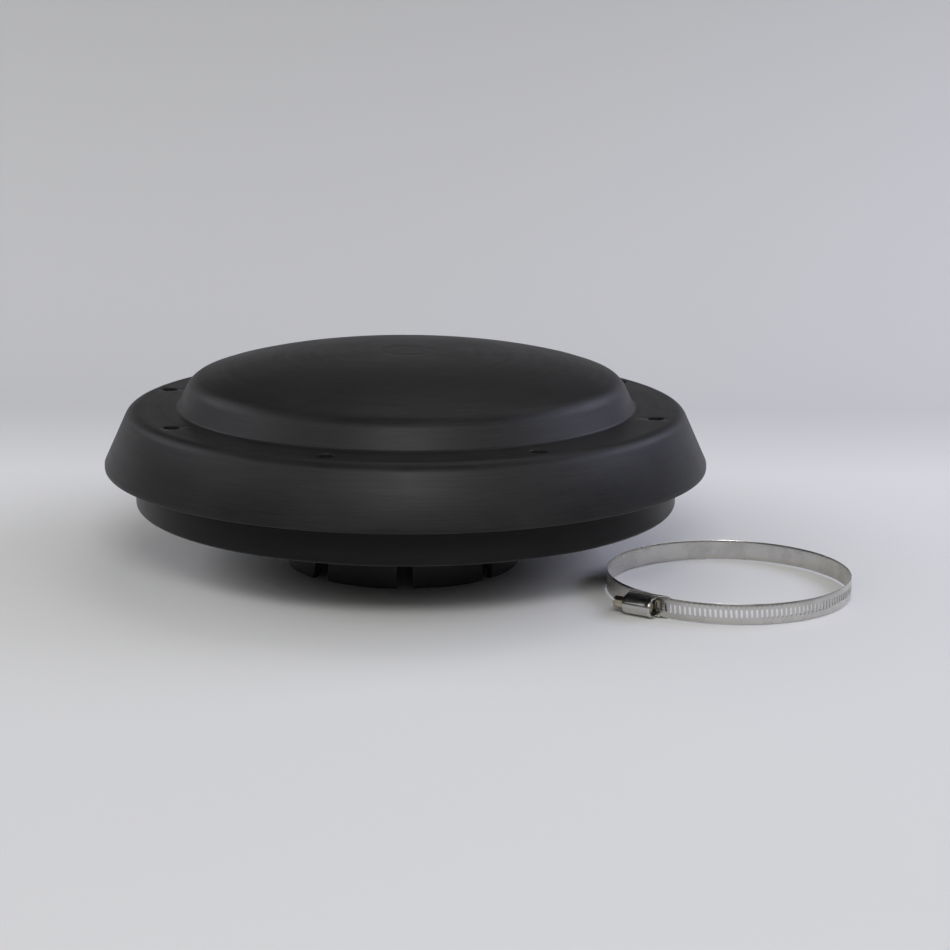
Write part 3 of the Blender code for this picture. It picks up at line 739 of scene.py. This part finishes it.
def insert_rings():
    """A brass insert with two knurled bands and a plain neck between them."""
    rows = ((INSERT_LOW, False), (INSERT_LOW + 0.3 * MM, True), (INSERT_LOW + 4.6 * MM, True),
            (INSERT_LOW + 4.8 * MM, False), (INSERT_LOW + 6.2 * MM, False),
            (INSERT_LOW + 6.4 * MM, True), (INSERT_HIGH - 0.4 * MM, True), (INSERT_HIGH, False))
    rings = [knurled_ring(INSERT_BORE_R, INSERT_LOW, 0.0)]
    for z, knurled in rows:
        radius = INSERT_R if knurled else INSERT_NECK_R
        rings.append(knurled_ring(radius, z, INSERT_TOOTH_DEEP if knurled else 0.0))
    rings.append(knurled_ring(INSERT_BORE_R, INSERT_HIGH, 0.0))
    return rings


def make_fasteners():
    """Eight black screws with hexagon sockets, and the knurled brass inserts below them."""
    screw_shape, insert_shape = screw_rings(), insert_rings()
    for number, place in screw_places():
        move = Vector((place[0], place[1], 0.0))
        screw = loft(f"pan_head_screw_{number}", [[p + move for p in ring] for ring in screw_shape],
                     BLACK_STEEL, 35)
        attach(screw, "hood")
        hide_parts(f"cover_screw_{number}")
        insert = loft(f"knurled_insert_{number}", [[p + move for p in ring] for ring in insert_shape],
                      BRASS, 35, closed_path=True)
        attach(insert, "hood")
        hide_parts(f"threaded_insert_{number}")


# ------------------------------------------------------------------ hose clamp
def loop_point(turned_angle, offset=0.0):
    """Plan point on the band's outer face, clockwise (from above) from the inner end."""
    angle = FOOT_ANGLE - turned_angle
    radius = LOOP_R - LAYER_STEP * (1 - turned_angle / (2 * math.pi)) + offset
    return LOOP_CENTRE + radius * Vector((math.cos(angle), math.sin(angle)))


FOOT_OUT = Vector((math.cos(FOOT_ANGLE), math.sin(FOOT_ANGLE)))
FOOT_ALONG = Vector((FOOT_OUT.y, -FOOT_OUT.x))
FOOT_POINT = loop_point(2 * math.pi)


def on_loop(along, offset):
    """Plan point at a length along the loop from its inner end."""
    return loop_point(along / LOOP_R, offset)


def on_tail(along, offset):
    """Plan point on the straight tail."""
    return FOOT_POINT + FOOT_ALONG * along + FOOT_OUT * offset


def band_mesh(name, place, start, end, slots, mat, step=2.2 * MM):
    """A band strip along place(), with slanted round-ended slots at the given middles."""
    half_h = BAND_H / 2
    side = 4                                    # points along each border of a slot's cell
    points, faces = [], []
    index = {}

    def vertex(along, up, layer):
        key = (round(along * 1e7), round(up * 1e7), layer)
        if key not in index:
            index[key] = len(points)
            edge = half_h - abs(up)
            rim = BAND_EDGE_ROUND if edge < 0.05 * MM else 0.0
            offset = -rim if layer else -BAND_THICK + rim
            plan = place(along, offset)
            points.append((plan.x, plan.y, BAND_Z + half_h + up))
        return index[key]

    flat = BAND_H - 2 * BAND_EDGE
    rows = [-half_h, -half_h + BAND_EDGE]
    rows += [-half_h + BAND_EDGE + flat * k / (side * 2) for k in range(1, side * 2)]
    rows += [half_h - BAND_EDGE, half_h]
    cell_rows = rows[1:-1]

    def quad(a, b, c, d, layer):
        faces.append((vertex(*a, layer), vertex(*b, layer), vertex(*c, layer), vertex(*d, layer)))

    def plain(a0, a1):
        for low, high in zip(rows, rows[1:]):
            for layer in (0, 1):
                quad((a0, low), (a1, low), (a1, high), (a0, high), layer)
        for up in (rows[0], rows[-1]):
            faces.append((vertex(a0, up, 0), vertex(a1, up, 0), vertex(a1, up, 1), vertex(a0, up, 1)))

    def slot_side(middle, hand):
        """Points up one side of a slanted, round-ended slot."""
        half_w, slot_half = BAND_SLOT_W / 2, BAND_SLOT_H / 2
        line = []
        for k in range(len(cell_rows)):
            share = k / (len(cell_rows) - 1)
            up = -slot_half + 2 * slot_half * share
            corner = max(0.0, abs(up) - (slot_half - half_w))
            width = max(math.sqrt(max(0.0, half_w ** 2 - corner ** 2)), 0.12 * half_w)
            line.append((middle + hand * width + SLOT_LEAN * up / BAND_SLOT_H, up))
        return line

    def slotted(middle):
        a0, a1 = middle - WORM_PITCH / 2, middle + WORM_PITCH / 2
        for low, high in ((rows[0], rows[1]), (rows[-2], rows[-1])):
            for layer in (0, 1):
                quad((a0, low), (a1, low), (a1, high), (a0, high), layer)
        for up in (rows[0], rows[-1]):
            faces.append((vertex(a0, up, 0), vertex(a1, up, 0), vertex(a1, up, 1), vertex(a0, up, 1)))
        left = [(a0, up) for up in cell_rows]
        right = [(a1, up) for up in cell_rows]
        border = left + right[::-1]
        hole = slot_side(middle, -1) + slot_side(middle, 1)[::-1]
        size = len(border)
        for k in range(size):
            after = (k + 1) % size
            for layer in (0, 1):
                quad(border[k], border[after], hole[after], hole[k], layer)
            faces.append((vertex(*hole[k], 0), vertex(*hole[after], 0),
                          vertex(*hole[after], 1), vertex(*hole[k], 1)))

    def end_cap(along):
        for low, high in zip(rows, rows[1:]):
            faces.append((vertex(along, low, 0), vertex(along, high, 0),
                          vertex(along, high, 1), vertex(along, low, 1)))

    marks = sorted(slots)
    here = start
    for middle in marks + [None]:
        stop = end if middle is None else middle - WORM_PITCH / 2
        span = stop - here
        if span > 1e-6:
            pieces = max(1, math.ceil(span / step))
            for k in range(pieces):
                plain(here + span * k / pieces, here + span * (k + 1) / pieces)
        if middle is not None:
            slotted(middle)
            here = middle + WORM_PITCH / 2
    end_cap(start)
    end_cap(end)
    return mesh_object(name, points, faces, mat, 50)


def make_band():
    """The clamp's band: plain half of the loop, slotted half, and tail."""
    whole = 2 * math.pi * LOOP_R
    split = SPLIT_ANGLE * LOOP_R
    bend = band_mesh("clamp_band_loop", on_loop, 0.0, split, [], STRIP)
    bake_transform(bend)
    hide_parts("clamp_band_plain")
    slots = [whole - (k + 0.5) * WORM_PITCH for k in range(SLOTS_ON_LOOP)]
    arc = band_mesh("clamp_band_slots", on_loop, split, whole - TAIL_GAP, slots, STRIP)
    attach(arc, "band_arc")
    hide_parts("clamp_band_slotted")
    slots = [(k + 0.5) * WORM_PITCH for k in range(SLOTS_IN_TAIL)]
    tail = band_mesh("clamp_band_end", on_tail, TAIL_GAP, SLOTS_IN_TAIL * WORM_PITCH, slots, STRIP)
    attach(tail, "band_tail")
    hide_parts("clamp_band_tail")


WORM_FRAME = Matrix.Translation(Vector((*(FOOT_POINT + FOOT_OUT * AXIS_OUT), BAND_Z + BAND_H / 2)))
WORM_FRAME = WORM_FRAME @ Matrix((
    (FOOT_OUT.x, 0.0, FOOT_ALONG.x, 0.0),
    (FOOT_OUT.y, 0.0, FOOT_ALONG.y, 0.0),
    (0.0, 1.0, 0.0, 0.0),
    (0.0, 0.0, 0.0, 1.0)))


def swept(name, section, marks, mat, sharp=35, shape=None):
    """Sweep a closed (out, up) section along the worm's axis through the given marks."""
    rings = []
    for along in marks:
        ring = []
        for out, up in section:
            if shape is not None:
                out, up = shape(out, up, along)
            ring.append(WORM_FRAME @ Vector((out, up, along)))
        rings.append(ring)
    return loft(name, rings, mat, sharp)


def half_round(radius, steps):
    """Half circle of (out, up) points over the worm's axis, from its upper end down."""
    points = []
    for k in range(steps + 1):
        angle = math.pi * k / steps
        points.append((radius * math.sin(angle), radius * math.cos(angle)))
    return points


def make_housing():
    """Pressed barrel over the worm, with a rolled mouth and two legs on the band."""
    inner_r = BARREL_R - BARREL_WALL
    low, leg, steps = BARREL_LOW, BARREL_LEG, 20
    section = [(low, leg), (low + 1.2 * MM, leg), (-1.6 * MM, leg)]
    section += half_round(BARREL_R, steps)
    section += [(-1.6 * MM, -leg), (low + 1.2 * MM, -leg), (low, -leg), (low, -leg + BARREL_WALL)]
    section += half_round(inner_r, steps)[::-1]
    section.append((low, leg - BARREL_WALL))
    marks = [BARREL_FROM, BARREL_FROM + 0.25 * MM, BARREL_FROM + 0.6 * MM, BARREL_FROM + 1.4 * MM,
             BARREL_FROM + MOUTH_LONG]
    marks += [BARREL_FROM + MOUTH_LONG + 14.7 * MM * k / 8 for k in range(1, 9)]
    marks += [BARREL_TO - 1.6 * MM, BARREL_TO - 0.9 * MM, BARREL_TO - 0.35 * MM, BARREL_TO]

    def press(out, up, along):
        """Rolled lip at the mouth, and a narrower neck at the head end."""
        reach = math.hypot(out, up)
        if out < -0.5 * MM or reach < 1e-6:
            return out, up
        swell = 0.0
        if along < BARREL_FROM + MOUTH_LONG:
            swell = MOUTH_SWELL * math.sin(math.pi * (along - BARREL_FROM) / MOUTH_LONG)
        if along > BARREL_TO - NECK_LONG:
            swell = -MOUTH_SWELL * (along - (BARREL_TO - NECK_LONG)) / NECK_LONG
        return out * (1 + swell / reach), up * (1 + swell / reach)

    housing = swept("worm_barrel", section, marks, PRESSED, 35, press)
    wall = [(low, 5.5 * MM)] + half_round(END_WALL_R, steps) + [(low, -5.5 * MM)]
    end_wall = swept("w", wall, [BARREL_TO - 1.5 * MM, BARREL_TO - 0.3 * MM], None)
    cut(housing, end_wall, 'UNION')
    hole = []
    for k in range(32):
        angle = 2 * math.pi * k / 32
        hole.append((END_HOLE_R * math.cos(angle), END_HOLE_R * math.sin(angle)))
    cut(housing, swept("h", hole, [BARREL_TO - CLEAR, BARREL_TO + CLEAR], None))
    smooth(housing, 35)
    housing.data.materials.clear()
    housing.data.materials.append(PRESSED)
    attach(housing, "clamp")
    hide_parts("clamp_housing")


def make_saddle():
    """Folded strap between the band's layers, hooked up round the barrel's legs."""
    inside, outside = SADDLE_INSIDE, SADDLE_OUTSIDE
    high, top, low = SADDLE_HIGH, SADDLE_TOP, SADDLE_LOW
    corners = [
        (high, outside, 0.12 * MM), (high, inside, 0.12 * MM), (top, inside, 0.35 * MM),
        (top, -inside, 0.35 * MM), (high, -inside, 0.12 * MM), (high, -outside, 0.12 * MM),
        (low, -outside, 0.8 * MM), (low, outside, 0.8 * MM),
    ]
    section = [tuple(p) for p in rounded(corners, 4)]
    start, end = SADDLE_FROM, BARREL_TO
    marks = [start, start + 0.15 * MM]
    marks += [start + (end - start) * k / 10 for k in range(1, 10)]
    marks += [end - 0.15 * MM, end]

    def trim(out, up, along):
        """The strap's sides drop away ahead of the barrel's mouth."""
        if along < BARREL_FROM and out > top + 0.2 * MM:
            share = max(0.0, min(1.0, (along - start) / (BARREL_FROM - start)))
            return top + 0.2 * MM + (out - top - 0.2 * MM) * (0.25 + 0.75 * share), up
        return out, up

    saddle = swept("strap_saddle", section, marks, PRESSED, 35, trim)
    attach(saddle, "clamp")
    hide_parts("clamp_saddle")


def make_worm():
    """The clamp's screw: rounded tip, worm thread, collar, slotted hexagon head."""
    rings = []
    for k in range(6):
        angle = math.pi / 2 * (k + 0.3) / 5.3
        rings.append(circle_ring(WORM_CORE_R * math.sin(angle),
                                 WORM_TIP + WORM_TIP_LONG * (1 - math.cos(angle))))
    thread_low, thread_high = WORM_TIP + 1.6 * MM, BARREL_TO - 2.0 * MM
    rings += thread_data(WORM_R, WORM_THREAD_DEEP, WORM_PITCH, thread_low, thread_high)
    for radius, past in ((WORM_NECK_R, -1.8), (WORM_NECK_R, 0.3), (WORM_COLLAR_R - 0.2 * MM, 0.35),
                         (WORM_COLLAR_R, 0.55), (WORM_COLLAR_R, 1.5), (WORM_COLLAR_R - 0.4 * MM, 1.75)):
        rings.append(circle_ring(radius, BARREL_TO + past * MM))
    for z, width, rounding in ((HEX_LOW, HEX_ACROSS, 1.02), (HEX_LOW + 0.5 * MM, HEX_ACROSS, 1.16),
                               (HEX_HIGH - 0.9 * MM, HEX_ACROSS, 1.16),
                               (HEX_HIGH - 0.35 * MM, HEX_ACROSS, 1.06),
                               (HEX_HIGH, HEX_ACROSS * 0.92, 1.0)):
        rings.append(hex_ring(width, z, 4, rounding))
    points = [[WORM_FRAME @ p for p in ring] for ring in rings]
    worm = loft("hex_worm_screw", points, WORM, 30)
    turn = Matrix.Rotation(DRIVER_ANGLE, 2)
    groove = []
    for x, y in ((-8 * MM, -DRIVER_HALF), (8 * MM, -DRIVER_HALF), (8 * MM, DRIVER_HALF),
                 (-8 * MM, DRIVER_HALF)):
        groove.append(tuple(turn @ Vector((x, y))))
    cut(worm, swept("g", groove, [HEX_HIGH - DRIVER_DEEP, HEX_HIGH + 2 * MM], None))
    smooth(worm, 30)
    worm.data.materials.clear()
    worm.data.materials.append(WORM)
    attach(worm, "worm")
    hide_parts("clamp_screw")


# ------------------------------------------------------------------ studio
def make_floor():
    """Plain pale table that sweeps up into a low backdrop behind the hood; the backdrop's colour is
    painted shade, darker than the table and darker still towards its top.
    """
    line = [(FLOOR_FRONT, 0.0), (-1.0, 0.0), (0.0, 0.0), (FLOOR_FOLD, 0.0)]
    for k in range(1, 25):
        angle = SWEEP_ANGLE * k / 24
        line.append((FLOOR_FOLD + SWEEP_R * math.sin(angle), SWEEP_R - SWEEP_R * math.cos(angle)))
    points, faces = [], []
    for y, z in line:
        points += [(-FLOOR_HALF, y, z), (FLOOR_HALF, y, z)]
    for k in range(len(line) - 1):
        faces.append((2 * k, 2 * k + 1, 2 * k + 3, 2 * k + 2))
    n = Nodes("studio_paper")
    cloud = n.noise(n.position(), 1.5, 2.0, 0.5)
    place = n.add('ShaderNodeSeparateXYZ', {0: n.position()})
    table = n.mix(cloud, (0.725, 0.725, 0.725, 1.0), (0.745, 0.745, 0.74, 1.0))
    # painted shade: from Y 0.26 back the table blends into a darker backdrop colour that darkens
    # further with height
    backdrop_painted_shade = n.mix(n.ramp(place.outputs[2], 0.0, 0.35),
                   (0.56, 0.56, 0.565, 1.0), (0.45, 0.45, 0.45, 1.0))
    tone = n.mix(n.ramp(place.outputs[1], 0.26, 0.50), table, backdrop_painted_shade)
    n.put(n.shader.inputs["Base Color"], tone)
    n.put(n.shader.inputs["Roughness"], 0.85)
    n.put(n.shader.inputs["Specular IOR Level"], 0.2)
    floor = mesh_object("studio_floor", points, faces, n.material, 60, recalc=False)


def area_light(name, place, target, size, power, colour=(1.0, 1.0, 1.0)):
    """A soft box aimed at a point."""
    light = bpy.data.lights.new(name, 'AREA')
    light.shape = 'RECTANGLE'
    light.size, light.size_y = size
    light.energy = power
    light.color = colour
    obj = bpy.data.objects.new(name, light)
    obj.location = place
    obj.rotation_euler = (Vector(target) - Vector(place)).to_track_quat('-Z', 'Y').to_euler()
    bpy.context.scene.collection.objects.link(obj)


def make_lights():
    """Bluish window at the right, a weaker one at the left, soft boxes over camera and table."""
    middle = (0.0, 0.0, 0.08)
    area_light("overhead", (0.4, 0.9, 2.2), (0.0, 0.0, 0.0), (2.0, 1.6), OVERHEAD_W,
               (1.0, 0.99, 0.94))
    area_light("right_window", (1.65, 0.45, 1.05), (0.1, 0.0, 0.08), (1.9, 0.8), RIGHT_W,
               (0.74, 0.76, 1.0))
    area_light("left_window", (-1.65, 0.35, 1.05), (-0.1, 0.0, 0.08), (2.0, 0.8), LEFT_W,
               (0.92, 0.93, 1.0))
    area_light("front", (0.05, -2.1, 1.55), middle, (0.9, 0.5), FRONT_W)
    make_room()
    bpy.context.scene.view_settings.view_transform = 'Standard'


def make_room():
    """A pale wall all along the front of the table, dim ceiling and dim far end."""
    world = bpy.data.worlds.new("room")
    bpy.context.scene.world = world
    world.use_nodes = True
    tree = world.node_tree
    background = tree.nodes["Background"]
    parts = tree.nodes.new('ShaderNodeSeparateXYZ')
    tree.links.new(tree.nodes.new('ShaderNodeTexCoord').outputs["Generated"], parts.inputs[0])
    shares = []
    for axis, low, high in (("Y", 0.15, -0.35), ("Z", 0.90, 0.55), ("Z", 0.26, 0.52)):
        share = tree.nodes.new('ShaderNodeMapRange')
        share.interpolation_type = 'SMOOTHSTEP'
        share.inputs["From Min"].default_value = low
        share.inputs["From Max"].default_value = high
        tree.links.new(parts.outputs[axis], share.inputs["Value"])
        shares.append(share.outputs["Result"])
    wall = shares[0]
    for share in shares[1:]:
        both = tree.nodes.new('ShaderNodeMath')
        both.operation = 'MULTIPLY'
        tree.links.new(wall, both.inputs[0])
        tree.links.new(share, both.inputs[1])
        wall = both.outputs[0]
    strength = tree.nodes.new('ShaderNodeMath')
    strength.operation = 'MULTIPLY_ADD'
    tree.links.new(wall, strength.inputs[0])
    strength.inputs[1].default_value = WALL_GLOW
    strength.inputs[2].default_value = ROOM_GLOW
    tree.links.new(strength.outputs[0], background.inputs["Strength"])
    background.inputs["Color"].default_value = (1.0, 1.0, 0.98, 1.0)


def make_camera():
    """Low three-quarter product view, a little above the rim."""
    camera = bpy.data.cameras.new("camera")
    camera.lens = CAMERA_LENS
    camera.sensor_width = 36
    camera.clip_start, camera.clip_end = 0.05, 30
    obj = bpy.data.objects.new("camera", camera)
    obj.matrix_world = (Matrix.Translation(CAMERA_PLACE)
                        @ Matrix.Rotation(math.pi / 2 - CAMERA_PITCH, 4, 'X')
                        @ Matrix.Rotation(CAMERA_ROLL, 4, 'Z'))
    bpy.context.scene.collection.objects.link(obj)
    bpy.context.scene.camera = obj


make_camera()
make_floor()
make_lights()
make_cover()
make_pan()
make_tube()
make_screen()
make_fasteners()
make_band()
make_housing()
make_saddle()
make_worm()
